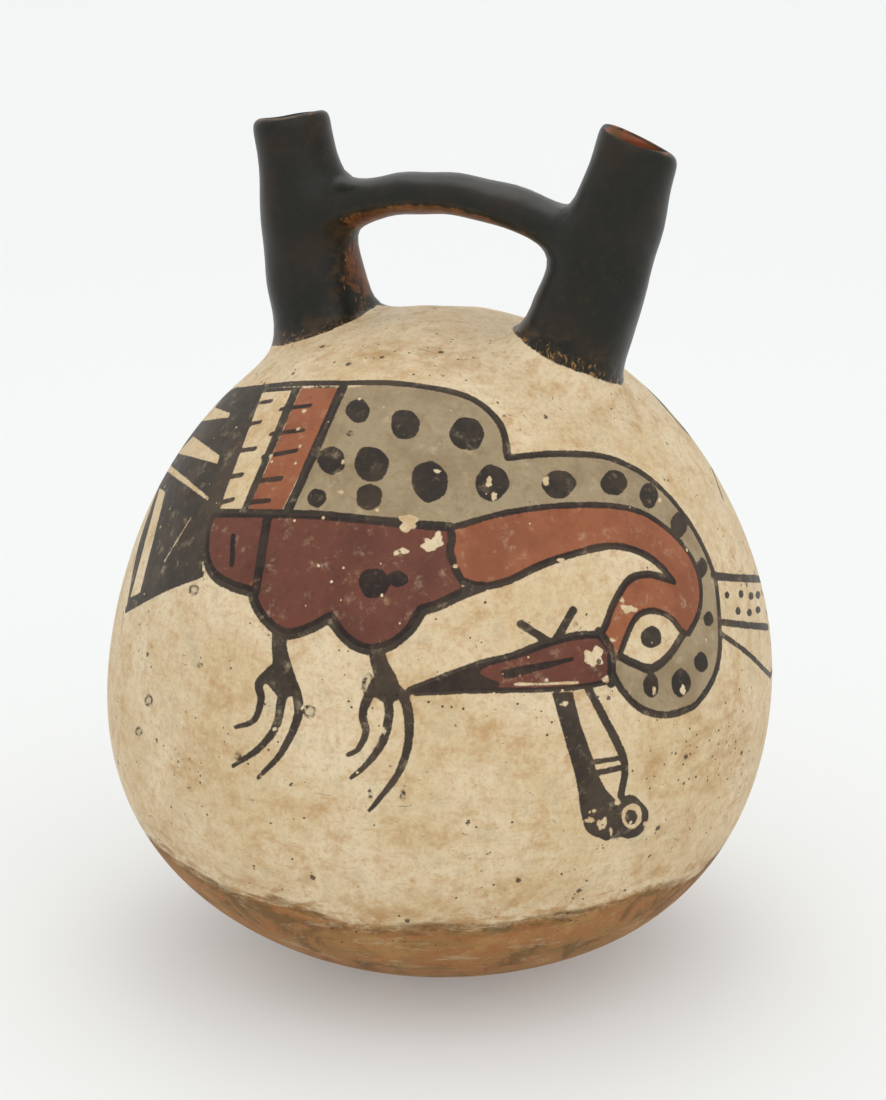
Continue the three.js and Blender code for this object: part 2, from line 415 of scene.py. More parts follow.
def split_edges(points, triangles, edges, places, wanted):
    """Splits the wanted edges at their middles and cuts the triangles to match."""
    middles = (points[edges[wanted, 0]] + points[edges[wanted, 1]]) / 2
    number = np.full(len(edges), -1)
    number[wanted] = len(points) + np.arange(wanted.sum())
    split = number[places]
    cuts = (split >= 0).sum(axis=1)
    made = [triangles[cuts == 0]]
    for turn in range(3):
        corner = np.roll(triangles, -turn, axis=1)
        middle = np.roll(split, -turn, axis=1)
        a, b, c = corner.T
        ab, bc, ca = middle.T
        one = (cuts == 1) & (ab >= 0)
        made.append(np.stack([a, ab, c], 1)[one])
        made.append(np.stack([ab, b, c], 1)[one])
        two = (cuts == 2) & (ca < 0)
        made.append(np.stack([ab, b, bc], 1)[two])
        made.append(np.stack([a, ab, bc], 1)[two])
        made.append(np.stack([a, bc, c], 1)[two])
        if turn == 0:
            three = cuts == 3
            made.append(np.stack([a, ab, ca], 1)[three])
            made.append(np.stack([ab, b, bc], 1)[three])
            made.append(np.stack([ca, bc, c], 1)[three])
            made.append(np.stack([ab, bc, ca], 1)[three])
    return np.concatenate([points, middles]), np.concatenate(made)


# The photograph's camera, which also places what is painted on the wall

view_back = np.array([math.sin(VIEW_TURN) * math.cos(VIEW_DROP),
                      -math.cos(VIEW_TURN) * math.cos(VIEW_DROP), math.sin(VIEW_DROP)])
view_right = np.array([math.cos(VIEW_TURN), math.sin(VIEW_TURN), 0])
view_up = np.cross(view_back, view_right)
view_place = np.array([0, 0, LOOK_HEIGHT]) + VIEW_DISTANCE * view_back


def to_photo(p):
    """The photograph's column and row of points on the bottle."""
    seen = p - view_place
    scale = FOCAL_PIXELS / -(seen @ view_back)
    return np.stack([AXIS_COLUMN + seen @ view_right * scale,
                     LOOK_ROW - seen @ view_up * scale], 1)


def from_photo(pixels, distance=body_distance):
    """The places on the wall that these columns and rows of the photograph show."""
    pixels = np.asarray(pixels, float)
    ray = (-view_back + view_right * ((pixels[:, :1] - AXIS_COLUMN) / FOCAL_PIXELS)
           - view_up * ((pixels[:, 1:] - LOOK_ROW) / FOCAL_PIXELS))
    ray /= np.linalg.norm(ray, axis=1)[:, None]
    reach = np.full(len(pixels), VIEW_DISTANCE - 2 * BODY_RADIUS)
    nearest = np.full(len(pixels), np.inf)
    found = np.zeros((len(pixels), 3))
    for _ in range(SIGHT_STEPS):
        place = view_place + ray * reach[:, None]
        away = distance(place)
        closer = np.abs(away) < nearest
        nearest[closer] = np.abs(away[closer])
        found[closer] = place[closer]
        reach += SIGHT_STRIDE * away
    return found


# Painting. Each shape is one touch of one paint, drawn in the photograph's columns and rows.

PAINTS = ("grey", "orange", "maroon", "cream", "black")
MARKS = ("stain", "soiled")


def smooth_run(points, step=2.5):
    """A flowing line through the points, as a row of close ones."""
    points = np.asarray(points, float)
    padded = np.concatenate([[2 * points[0] - points[1]], points, [2 * points[-1] - points[-2]]])
    run = []
    for i in range(len(points) - 1):
        before, start, end, after = padded[i:i + 4]
        count = max(2, int(np.linalg.norm(end - start) / step))
        t = np.linspace(0, 1, count, endpoint=False)[:, None]
        run.append(0.5 * (2 * start + (end - before) * t
                          + (2 * before - 5 * start + 4 * end - after) * t**2
                          + (3 * start - before - 3 * end + after) * t**3))
    run.append(points[-1:])
    return np.concatenate(run)


def area(paint, *runs):
    """A filled shape. Its outline flows along each run and turns a corner between runs."""
    pixels = np.concatenate([smooth_run(run)[:-1] for run in runs])
    return {"paint": paint, "pixels": pixels, "half_widths": None}


def corners(paint, *points):
    """A filled shape with straight sides."""
    return area(paint, *[(a, b) for a, b in zip(points, points[1:] + points[:1])])


DAB_UNEVENNESS = 0.022
SOILED_UNEVENNESS = 0.12
FLAKE_UNEVENNESS = 0.14


def blob(paint, column, row, half_width, half_height=None, unevenness=DAB_UNEVENNESS):
    """A round dab, a little out of round as a brush leaves it."""
    turns = np.linspace(0, 2 * math.pi, DAB_CORNERS, endpoint=False)
    dice = np.random.default_rng(int(column * 31 + row))
    swell = 1 + sum(unevenness * np.cos(n * turns + dice.uniform(0, 2 * math.pi))
                    for n in (2, 3, 4, 6))
    pixels = np.stack([column + half_width * swell * np.cos(turns),
                       row + (half_height or half_width) * swell * np.sin(turns)], 1)
    return {"paint": paint, "pixels": pixels, "half_widths": None}


def line(paint, width, *points, end_width=None):
    """A brush line, its width in millimetres at the start and at the end."""
    pixels = smooth_run(points)
    passed = np.linspace(0, 1, len(pixels))
    half_widths = (width + ((end_width or width) - width) * passed**2) / 2
    return {"paint": paint, "pixels": pixels, "half_widths": half_widths}


def inside(pixels, ring):
    """Whether places in the photograph lie inside a closed ring."""
    within = np.zeros(len(pixels), bool)
    x, y = pixels.T
    for (ax, ay), (bx, by) in zip(ring, np.roll(ring, -1, axis=0)):
        if ay == by:
            continue
        crosses = (ay > y) != (by > y)
        within ^= crosses & (x < (bx - ax) * (y - ay) / (by - ay) + ax)
    return within


def touch_distance(shape, places, pixels):
    """How far points on the wall lie inside a touch of paint, in millimetres."""
    filled = shape["half_widths"] is None
    wall = from_photo(shape["pixels"])
    if filled:
        wall = np.concatenate([wall, wall[:1]])
    away, travelled, _ = along_line(places, wall)
    if filled:
        return np.where(inside(pixels, shape["pixels"]), away, -away)
    steps = np.linalg.norm(np.diff(wall, axis=0), axis=1)
    passed = np.concatenate([[0], np.cumsum(steps)])
    return np.interp(travelled, passed, shape["half_widths"]) - away


def lay_on(fields, shapes, points, normals, turn):
    """Paints shapes onto the wall, turned round the bottle's axis."""
    c, s = math.cos(turn), math.sin(turn)
    back = np.array([[c, -s, 0], [s, c, 0], [0, 0, 1]])
    places = points @ back
    facing = ((view_place - places) * (normals @ back)).sum(1) > 0
    pixels = to_photo(places)
    # Measured on the even wall, so that its low waves don't break an edge.
    even = np.zeros_like(places)
    even[facing] = from_photo(pixels[facing])
    for shape in shapes:
        low = shape["pixels"].min(0) - NEAR_PIXELS
        high = shape["pixels"].max(0) + NEAR_PIXELS
        near = facing & np.all((pixels > low) & (pixels < high), axis=1)
        depth = touch_distance(shape, even[near], pixels[near])
        if shape["paint"] == "worn":
            for paint in PAINTS:
                fields[paint][near] = np.minimum(fields[paint][near], -depth)
            continue
        fields[shape["paint"]][near] = np.maximum(fields[shape["paint"]][near], depth)
        if shape["paint"] in PAINTS:
            for later in PAINTS[PAINTS.index(shape["paint"]) + 1:]:
                fields[later][near] = np.minimum(fields[later][near], -depth)


# The bird, seen from the front of the bottle. Places are columns and rows of the photograph.

# Widths of brush lines, in millimetres
FINE_LINE = 1.3
OUTLINE = 1.55
BOLD_LINE = 2.2
TICK_LINE = 1.1
CLAW_LINE = 2.0
CLAW_TIP = 0.8
SCRATCH_LINE = 0.3
TAIL_END_WIDTH = 1.8

TAIL_TOP = ((126, 610), (139, 544), (161, 481), (170, 464), (197, 423), (216, 406), (236, 390))
TAIL_SHOULDER = ((236, 390), (240, 391))
TAIL_SIDE = ((240, 391), (205, 530))
TAIL_CORNER = ((205, 530), (202, 574.5))
TAIL_FOOT = ((202, 574.5), (163, 590), (126, 610))
PALE_FEATHERS = (((159.4, 488.5), (165.4, 492), (140, 592.7), (130.3, 597.5)),
                 ((197, 421.8), (213.9, 407.3), (240.6, 417), (221.2, 418.2)),
                 ((177.6, 453.3), (193.3, 436.3), (221.2, 456.9), (220, 464.2)),
                 ((164.2, 469), (170.3, 465.4), (211.5, 499.4), (209, 501.8)))
TAIL_SCRATCH = ((191, 517.5), (164, 562))

STRIPES_GROUND = ((236, 389), (347, 386), (290, 514), (205, 513))
PALE_STRIPE = ((262.4, 392.7), (291.5, 390.3), (240.6, 511.5), (218.8, 510.3))
RED_STRIPE = ((301.2, 387.9), (342.4, 387.9), (281.8, 511.5), (247.8, 510.3))
STRIPE_TICKS = (((252, 404), (271, 401)), ((236, 427), (260, 422)), ((231, 452), (255, 448.5)),
                ((221, 479), (242, 474.5)), ((216, 504), (233, 499.5)),
                ((281, 409), (310, 405.5)), ((271, 434), (303, 430)), ((263, 457), (296, 450.5)),
                ((256, 481), (281, 478.5)), ((252, 502), (269, 500.5)))

BACK_LINE = ((236, 390), (289, 384), (342, 383), (391, 383), (439, 389), (470, 398), (490, 412),
             (503, 430), (508, 458))
WING_FRONT = ((287, 513), (345, 386))
WING_EDGE = ((343, 387), (287, 513))
WING_FOOT = ((213, 513), (290, 514), (330, 516), (400, 523), (450, 527))
NECK_OUTSIDE = ((508, 458), (549, 454), (599, 455.8), (631, 467), (653.7, 482), (673.6, 501.8),
                (693.5, 529), (708.4, 559), (716, 584), (719.6, 621), (719.6, 653.5),
                (713.4, 678.4), (701, 698.3), (690, 708), (665, 715), (640, 708), (622, 690),
                (612, 672))
NECK_INSIDE = ((450, 527), (459.7, 525.4), (499.5, 514.2), (549.2, 506.7), (599, 505),
               (636.3, 510.5), (661.2, 524.2), (681, 542.8), (694.7, 564), (701, 588.8),
               (698.5, 613.7), (688.5, 633.6))
NECK_UNDERSIDE = ((462, 581), (482, 586), (507, 581.4), (544, 564), (591.5, 549), (619, 546.5),
                  (643.7, 554), (661, 566.4), (673.6, 581.4))
CHEEK = (((612, 672), (614, 655)), ((614, 655), (640, 662)), ((640, 662), (688.5, 633.6)))
FACE = (((688.5, 633.6), (650, 650)), ((650, 650), (616, 658)), ((616, 658), (608, 650)),
        ((608, 650), (601.5, 633.6)))
FOREHEAD = ((673.6, 581.4), (658.7, 576.4), (643.7, 574.4), (628.8, 580), (619, 593.8),
            (611.4, 608.7), (606.4, 623.6), (601.5, 633.6))

BELLY_TOP = ((213, 513), (330, 516))
BREAST_FOLD = ((462, 581), (462, 594))
SHOULDER = ((450, 527), (452, 540), (450, 552), (456, 570), (462, 581))
LEFT_LOBE = ((213, 513), (207, 530), (206, 555), (213, 573), (228, 584), (252, 592))
BELLY_LOBES = (((252, 592), (257, 608), (269.7, 624), (286.6, 634), (308, 629), (330, 617)),
               ((330, 617), (342, 634), (357, 646), (374, 649.6), (393, 643.6), (410, 629),
                (422, 609.6)),
               ((422, 609.6), (439, 604.8), (462, 593.8), (482, 586.5)))
RUMP_LINE = ((268, 514), (263, 545), (256, 590))
RUMP_SLIT = ((233, 536), (232, 564))

EYE = ((619, 656), (633.8, 621), (648.7, 611), (668.6, 616), (683.5, 633.6), (668.6, 656),
       (651, 668.4), (633.8, 663.4))
BEAK_TOP = ((410, 690.8), (434.8, 681), (474.6, 666), (512, 656), (539, 646), (574, 636),
            (599, 634.8))
BEAK_FOOT = ((611.4, 681), (586.5, 685.8), (549, 689.6), (474.6, 690.8), (415, 693))
BEAK_ROOT = ((599, 634.8), (611, 656), (611.4, 681))
BEAK_TIP = ((415, 693), (410, 690.8))
DARK_TIP_END = ((512, 656), (480, 672), (500, 684), (474.6, 690.8))
DARK_TIP_FOOT = ((474.6, 690.8), (415, 693))
BEAK_SLIT = ((500, 670), (574, 656.5), (574, 661), (505, 680))
BEAK_SEAM = ((599, 632), (611, 652), (611.4, 683))
BEAK_GLEAM = ((515, 684.2), (545, 684), (578, 682.5))
LONG_WHISKER = ((521, 624), (549, 642))
SHORT_WHISKER = ((573, 610), (556, 640))

# Paint, width of the line and where it runs
HEAD_LINES = (("black", OUTLINE, BEAK_TOP), ("black", 1.1, BEAK_FOOT), ("black", 2, BEAK_SEAM),
              ("black", FINE_LINE, EYE[:5]), ("black", 1.8, EYE[4:] + EYE[:1]),
              ("cream", 0.5, BEAK_GLEAM), ("black", 1.6, LONG_WHISKER),
              ("black", 1.7, SHORT_WHISKER))
BODY_LINES = (("black", OUTLINE, BACK_LINE), ("black", OUTLINE, NECK_OUTSIDE),
              ("black", FINE_LINE, NECK_INSIDE), ("black", OUTLINE, NECK_UNDERSIDE),
              ("black", OUTLINE, FOREHEAD), ("black", OUTLINE, SHOULDER),
              ("black", 1.9, WING_FOOT), ("black", BOLD_LINE, LEFT_LOBE),
              ("black", BOLD_LINE, WING_EDGE), ("black", FINE_LINE, TAIL_FOOT),
              ("black", BOLD_LINE, BELLY_LOBES[0]), ("black", BOLD_LINE, BELLY_LOBES[1]),
              ("black", BOLD_LINE, BELLY_LOBES[2]))

# Round dabs: column, row, half width, half height
WING_SPOTS = ((358, 411, 12), (405, 424.5, 15), (467, 434, 17), (331.5, 460.6, 14),
              (371.5, 464, 17.5), (429.7, 481.5, 18, 21), (317, 498, 9.7), (369, 497, 13.3))
NECK_SPOTS = ((492, 483, 17, 18), (559, 484.4, 17, 14), (614, 483, 13), (648.7, 495.6, 9, 13),
              (678.6, 525.4, 8, 13), (702, 567.7, 5, 10), (708.4, 618.7, 5, 8), (701, 662, 7, 10),
              (681, 683, 10, 14), (651, 685.8, 8, 12))
BELLY_MARKS = ((374, 583, 15.7, 15), (398, 579, 10, 8))
PUPIL = (651.2, 637.3, 10.5, 11.5)
# Flakes of paint that have come away
WORN_SPOTS = ((408, 523, 10, 8), (431, 545, 9, 7), (438, 538, 5, 6), (404, 551, 4, 3),
              (396, 553, 2.5, 2.5), (594, 657, 9, 10), (606, 679, 4, 3), (629, 609, 8, 4),
              (622, 600, 2.5, 3), (612, 640, 2.5, 2), (489, 482, 3, 5), (494, 496, 3, 4),
              (546, 481, 3, 5), (304, 411, 2, 2), (298, 429, 2, 2), (300, 446, 1.6, 1.6),
              (271, 456, 2, 2), (565, 704, 4, 2.5), (590, 820, 4, 3), (602, 824, 5, 6),
              (594, 811, 2.5, 2), (611, 831, 2, 4), (618, 803, 3, 2.5), (645, 824, 2, 3),
              (302, 708, 2, 2.5), (275, 729, 2.5, 2), (384, 731, 2, 3), (262, 776, 2, 2),
              (437, 471, 3, 2), (341, 492, 3, 2), (343, 462, 2, 3), (455, 566, 3, 2),
              (660, 500, 2, 2.5), (683, 690, 3, 4), (654, 690, 2, 4), (560, 560, 3, 2))

# A shank's filled outline, then its claws
LEFT_LEG = (((272, 632), (272, 650), (272, 666), (264, 680)), ((264, 680), (281, 700)),
            ((281, 700), (299, 693)), ((299, 693), (294, 672), (288, 652), (285, 632)))
RIGHT_LEG = (((367, 646), (371, 666), (375, 682), (370, 694)), ((370, 694), (388, 706)),
             ((388, 706), (404, 696)), ((404, 696), (396, 676), (388, 662), (383, 646)))
CLAWS = (((274, 668), (259, 684), (261, 699), (254, 720), (235, 727.5)),
         ((283, 678), (281, 703), (275, 728), (258, 749), (233, 766)),
         ((290, 674), (298, 699), (297, 720), (281, 753), (258, 778)),
         ((376, 682), (363, 711), (366, 732), (358, 749), (348, 755)),
         ((383, 687), (389, 711), (383, 741), (367, 764), (351, 778)),
         ((391, 682), (406, 703), (409, 736), (400, 770), (379, 799), (369, 811)))

FISH_LEFT_EDGE = ((551, 692), (558, 716), (566, 743), (577, 785), (580, 808), (587, 831),
                  (606, 841))
FISH_CHIN = ((606, 841), (622, 837))
FISH_CHEEK = ((622, 837), (616, 800))
FISH_RIGHT_EDGE = ((616, 800), (606, 789), (597, 772), (592, 756), (579, 718), (573, 692))
FISH_TAIL = ((573, 692), (551, 692))
FISH_LINES = (("black", 1.7, ((589, 690), (602, 714), (619, 747), (625, 768), (621, 795))),
              ("black", 1.0, ((594, 762), (621, 758))), ("black", 1.2, ((596, 773), (623, 767.5))))
FISH_HEAD = (630, 817, 18, 21.5)
FISH_EYE = (632, 816, 10.5, 12.5)
FISH_PUPIL = (631, 817, 6, 7.5)

PLUME_LINES = (("black", 1.7, ((713, 576), (737, 578), (761, 579))),
               ("black", 1.5, ((721, 622), (745, 625), (768, 627))),
               ("black", 1.3, ((721, 633.6), (748, 653.5), (770.6, 676))),
               ("black", 0.9, ((693.5, 429.6), (708.4, 459.5), (723, 499))))
PLUME_DOTS = ((727, 595, 2.5, 4), (741, 594, 2.5, 4), (751, 596, 2.5, 4), (758, 595, 2.5, 4),
              (738, 611, 2.5, 4), (749.5, 612.5, 2.5, 4), (758, 610, 2.5, 4))

# Beyond the photograph's left and right edge, drawn with the bottle turned this far
SIDE_TURN = math.radians(60)
# The bird on the back, whose tail stays just out of sight from the front
BACK_TURN = math.radians(192)
TAIL_END_LINE = ((286, 552), (270, 536), (273, 516), (282, 498), (273, 480), (286, 456),
                 (312, 440), (338, 431))
TAIL_END_FEATHERS = (((288, 530), (300, 515), (282, 514), (272, 520), (270, 534)),
                     ((322, 490), (300, 502), (284, 500), (274, 481), (285, 478), (300, 474)),
                     ((293, 460), (304, 456), (338, 440), (338, 431), (312, 439), (286, 456)))
PLUME_END_LINES = (("black", 1.5, ((600, 663), (628, 671), (648, 688))),
                   ("black", 1.5, ((590, 715), (622, 712), (648, 688))),
                   ("black", 1.3, ((560, 762), (598, 758), (628, 735), (648, 688))))
PLUME_END_DOTS = ((580, 674, 5, 3.5), (605, 680, 5, 3.5), (585, 698, 5, 3.5), (612, 696, 5, 3.5))


def lines(table):
    return [line(paint, width, *run) for paint, width, run in table]


def dabs(paint, places):
    return [blob(paint, *place) for place in places]


def tail():
    feathers = [corners("cream", *feather) for feather in PALE_FEATHERS]
    return [area("black", TAIL_TOP, TAIL_SHOULDER, TAIL_SIDE, TAIL_CORNER, TAIL_FOOT), *feathers,
            line("cream", SCRATCH_LINE, *TAIL_SCRATCH)]


def stripes():
    ticks = [line("black", TICK_LINE, *tick) for tick in STRIPE_TICKS]
    return [corners("black", *STRIPES_GROUND), corners("cream", *PALE_STRIPE),
            corners("orange", *RED_STRIPE), *ticks]


def wing_and_neck():
    wing = area("grey", WING_FRONT, BACK_LINE[3:], NECK_OUTSIDE, *CHEEK, NECK_INSIDE[::-1],
                WING_FOOT[::-1])
    neck = area("orange", NECK_INSIDE, *FACE, FOREHEAD[::-1], NECK_UNDERSIDE[::-1],
                SHOULDER[::-1])
    return [wing, neck, *dabs("black", WING_SPOTS + NECK_SPOTS)]


def belly():
    return [
        area("maroon", BELLY_TOP, WING_FOOT[2:], SHOULDER, BREAST_FOLD, BELLY_LOBES[2][2::-1],
             BELLY_LOBES[1][::-1], BELLY_LOBES[0][::-1], LEFT_LOBE[::-1]),
        *dabs("black", BELLY_MARKS),
        line("black", BOLD_LINE, *RUMP_LINE),
        line("black", FINE_LINE, *RUMP_SLIT),
    ]


def head():
    return [
        area("cream", EYE + EYE[:1]),
        area("maroon", BEAK_TOP, BEAK_ROOT, BEAK_FOOT, BEAK_TIP),
        area("black", BEAK_TOP[:4], DARK_TIP_END, DARK_TIP_FOOT, BEAK_TIP),
        corners("black", *BEAK_SLIT),
        blob("black", *PUPIL),
        *lines(HEAD_LINES),
    ]


def legs():
    claws = [line("black", CLAW_LINE, *claw, end_width=CLAW_TIP) for claw in CLAWS]
    return [area("black", *LEFT_LEG), area("black", *RIGHT_LEG), *claws]


def small_fish():
    """The little creature that hangs from the beak."""
    return [
        area("black", FISH_LEFT_EDGE, FISH_CHIN, FISH_CHEEK, FISH_RIGHT_EDGE, FISH_TAIL),
        *lines(FISH_LINES),
        blob("black", *FISH_HEAD),
        blob("cream", *FISH_EYE),
        blob("black", *FISH_PUPIL),
    ]


def bird():
    return (tail() + stripes() + wing_and_neck() + belly() + head() + lines(BODY_LINES) + legs()
            + small_fish())


def plume():
    """The dotted plume that runs back from the bird's head, as far as the front shows it."""
    return lines(PLUME_LINES) + dabs("black", PLUME_DOTS)


def tail_end():
    """How the tail ends, round the left side."""
    feathers = [corners("black", *feather) for feather in TAIL_END_FEATHERS]
    return [*feathers, line("black", TAIL_END_WIDTH, *TAIL_END_LINE)]


def plume_end():
    """How the dotted plume ends, round the right side."""
    return lines(PLUME_END_LINES) + dabs("black", PLUME_END_DOTS)


# Edges of the slips

SLIP_EDGE = ((164.6, 849), (214, 881.5), (244, 896), (279, 899), (314, 906), (329, 919),
             (364, 926), (438, 924), (476, 927), (553, 915), (617, 899), (655, 887), (693, 876))
SLIP_EDGE_BEHIND = ((115, 29), (140, 27), (170, 30), (200, 27), (235, 29.5), (270, 28))
LEFT_FOOT_EDGE = ((274, 347), (290, 343), (310, 338), (332, 330), (350, 322), (366, 312),
                  (377, 305))
RIGHT_FOOT_EDGE = ((520, 338), (532, 349), (550, 360), (570, 368), (590, 376), (612, 383))
# Behind: a direction round the foot, and how far down and out the edge lies
LEFT_FOOT_BEHIND = ((30, 13), (75, 13.5), (120, 12.5), (165, 14), (200, 13.5))
RIGHT_FOOT_BEHIND = ((10, 12), (60, 13), (110, 12), (150, 13), (190, 11.5))


FRONT = -90
LEAST_STEEPNESS = 0.35
ALL_DARK_ABOVE = BODY_HEIGHT + 8


def around(centre, p):
    """The direction of points round an upright line, in degrees from +X."""
    return np.degrees(np.arctan2(p[:, 1] - centre[1], p[:, 0] - centre[0])) % 360


def slip_height(points, normals):
    """How far up the wall points lie above the cream slip's lower edge, in millimetres."""
    seen = from_photo(SLIP_EDGE)
    behind = np.array(SLIP_EDGE_BEHIND, float)
    # Behind, the edge is given by the direction from the front and its height.
    turns = np.concatenate([around((0, 0), seen), (behind[:, 0] + FRONT) % 360])
    heights = np.concatenate([seen[:, 2], behind[:, 1]])
    edge = np.interp(around((0, 0), points), turns, heights, period=360)
    steepness = np.maximum(np.hypot(normals[:, 0], normals[:, 1]), LEAST_STEEPNESS)
    return (points[:, 2] - edge) / steepness


def down_and_out(spout, points):
    """How far points lie down a spout and out from it, a measure that runs on into the body."""
    away, travelled, _ = along_line(points, spout.axis)
    return away + SPOUT_ROOT - travelled


def foot_cover(spout, seen_edge, behind, points):
    """How far points lie inside the dark slip round a spout's foot, in millimetres."""
    seen = from_photo(seen_edge, skin_distance)
    behind = np.array(behind, float)
    turns = np.concatenate([around(spout.foot, seen), behind[:, 0]])
    edge = np.interp(around(spout.foot, points), turns,
                     np.concatenate([down_and_out(spout, seen), behind[:, 1]]), period=360)
    return edge - down_and_out(spout, points)


def dark_cover(points):
    """How far points lie inside the dark slip of spouts and bridge, in millimetres."""
    left = foot_cover(left_spout, LEFT_FOOT_EDGE, LEFT_FOOT_BEHIND, points)
    right = foot_cover(right_spout, RIGHT_FOOT_EDGE, RIGHT_FOOT_BEHIND, points)
    return np.maximum(np.maximum(left, right), points[:, 2] - ALL_DARK_ABOVE)


GAP_MIDDLE = np.array([-1, 0, BODY_HEIGHT + 10])
UNDERSIDE_START = 0.12
UNDERSIDE_GROWTH = 1.05
BRIDGE_START = -24
BRIDGE_END = 27


def towards_gap(points, normals):
    """How squarely points face the finger gap or lie under the bridge, from -1 to 1."""
    aim = GAP_MIDDLE - points
    aim /= np.maximum(np.linalg.norm(aim, axis=1), 1)[:, None]
    facing = (aim * normals).sum(1)
    bridged = ((points[:, 0] > BRIDGE_START) & (points[:, 0] < BRIDGE_END)
               & (points[:, 2] > BODY_HEIGHT + FINGER_GAP / 2))
    under = UNDERSIDE_START - UNDERSIDE_GROWTH * normals[:, 2]
    return np.where(bridged, np.maximum(facing, under), facing)


def rim_nearness(points):
    """How far points lie above the place where a rim begins to round over, in millimetres."""
    past = [(points - spout.rim) @ spout.rim_up for spout in (left_spout, right_spout)]
    side = points[:, 0] > 0
    return np.where(side, past[1], past[0]) + RIM_ROUNDING


SOILED = ((716, 742, 34, 52), (664, 836, 22, 12), (478, 826, 12, 8), (352, 432, 5, 4),
          (600, 712, 8, 12), (415, 355, 60, 14), (205, 760, 30, 20), (655, 762, 10, 8),
          (435, 700, 14, 6))
STAINS = ((194, 590, 5, 6), (200, 665, 3, 3), (148.7, 700, 4, 6), (138.8, 731.5, 4, 5),
          (237.5, 756.5, 4.5, 4.5), (309.7, 711.4, 6.5, 7), (368.6, 686, 6, 13),
          (370.8, 795.8, 2, 4), (403, 795.3, 3, 5), (350, 433.5, 4, 3), (575, 624, 2.5, 2.5))


def paint_fields(points, normals):
    """Every paint's depth of cover at points on the skin, in millimetres."""
    fields = {name: np.full(len(points), -float(FIELD_LIMIT)) for name in PAINTS + MARKS}
    on_body = points[:, 2] < crown_height(0) - 1
    part = {name: values[on_body] for name, values in fields.items()}
    lay_on(part, bird(), points[on_body], normals[on_body], 0)
    lay_on(part, plume(), points[on_body], normals[on_body], 0)
    lay_on(part, plume_end(), points[on_body], normals[on_body], SIDE_TURN)
    lay_on(part, bird(), points[on_body], normals[on_body], BACK_TURN)
    for turn in (-SIDE_TURN, BACK_TURN - SIDE_TURN):
        lay_on(part, tail_end(), points[on_body], normals[on_body], turn)
    stains = [blob("stain", *spot) for spot in STAINS]
    stains += [blob("soiled", *spot, unevenness=SOILED_UNEVENNESS) for spot in SOILED]
    worn = [blob("worn", *spot, unevenness=FLAKE_UNEVENNESS) for spot in WORN_SPOTS]
    lay_on(part, stains + worn, points[on_body], normals[on_body], 0)
    for name, values in part.items():
        fields[name][on_body] = values
    fields["slip"] = slip_height(points, normals)
    fields["dark"] = dark_cover(points)
    return {name: np.clip(values, -FIELD_LIMIT, FIELD_LIMIT) for name, values in fields.items()}


def bottle_skin():
    """The outer skin, with small cells only where a painted edge runs."""
    points, triangles = rough_skin()
    points = settle(points, SETTLE_ROUNDS)
    points = relax(points, triangles, RELAX_ROUNDS)
    for _ in range(LINE_SPLITS):
        normals = slopes(points, skin_distance, skin_distance(points))
        fields = paint_fields(points, normals)
        nearest = np.full(len(points), np.inf)
        for name in PAINTS + ("dark", "stain"):
            nearest = np.minimum(nearest, np.abs(fields[name]))
        from_lip = np.abs(rim_nearness(points) - LIP_MIDDLE) - LIP_REACH
        nearest = np.minimum(nearest, np.maximum(from_lip, 0))
        edges, places = edges_of(triangles)
        lengths = np.linalg.norm(points[edges[:, 0]] - points[edges[:, 1]], axis=1)
        reach = np.minimum(nearest[edges[:, 0]], nearest[edges[:, 1]])
        wanted = reach < LINE_REACH * lengths
        old = len(points)
        points, triangles = split_edges(points, triangles, edges, places, wanted)
        points[old:] = settle(points[old:], 2)
    return points, triangles


def carve(piece, tools):
    for tool in tools:
        cut = piece.modifiers.new("hollow", "BOOLEAN")
        cut.operation = "DIFFERENCE"
        cut.solver = "MANIFOLD"
        cut.object = tool
    points, triangles = evaluated(piece)
    for tool in tools:
        bpy.data.objects.remove(tool)
    return points, triangles


def bore(spout):
    """The space inside a spout, from the body's hollow out past the rim, with a rounded lip."""
    heights = np.concatenate([np.linspace(0, SPOUT_ROOT + spout.length - LIP_DEPTH, SPOUT_RINGS),
                              SPOUT_ROOT + spout.length + np.linspace(*LIP_RINGS) * LIP_DEPTH])
    past_lip = np.clip((heights - SPOUT_ROOT - spout.length) / LIP_DEPTH + 1, 0, 2)
    radii = spout.radius(np.minimum(heights, SPOUT_ROOT + spout.length)) - SPOUT_WALL
    radii += LIP_FLARE * past_lip**2
    lengths = np.concatenate([[0], np.cumsum(np.linalg.norm(np.diff(spout.axis, axis=0), axis=1))])
    centres = np.stack([np.interp(heights, lengths, spout.axis[:, i]) for i in range(3)], 1)
    return tube("bore", centres, radii, radii, BORE_SIDES)


def bottle_mesh():
    points, triangles = bottle_skin()
    skin = mesh_object("skin", points, triangles)
    tools = [round_body("cavity", BODY_WALL, *CAVITY), bore(left_spout), bore(right_spout)]
    points, triangles = carve(skin, tools)
    bpy.data.objects.remove(skin)
    bottle = mesh_object("painted_bottle", points * MILLIMETRE, triangles)
    bottle.data.polygons.foreach_set("use_smooth", np.ones(len(triangles), bool))
    distances = skin_distance(points)
    normals = slopes(points, skin_distance, distances)
    fields = paint_fields(points, normals)
    fields["inside"] = -distances
    fields["gap_side"] = towards_gap(points, normals)
    fields["rim"] = rim_nearness(points)
    for name, values in fields.items():
        attribute = bottle.data.attributes.new(name, "FLOAT", "POINT")
        attribute.data.foreach_set("value", values.astype(np.float32))
    return bottle


# Finish. One material holds every slip, the bare clay and the wear on them.

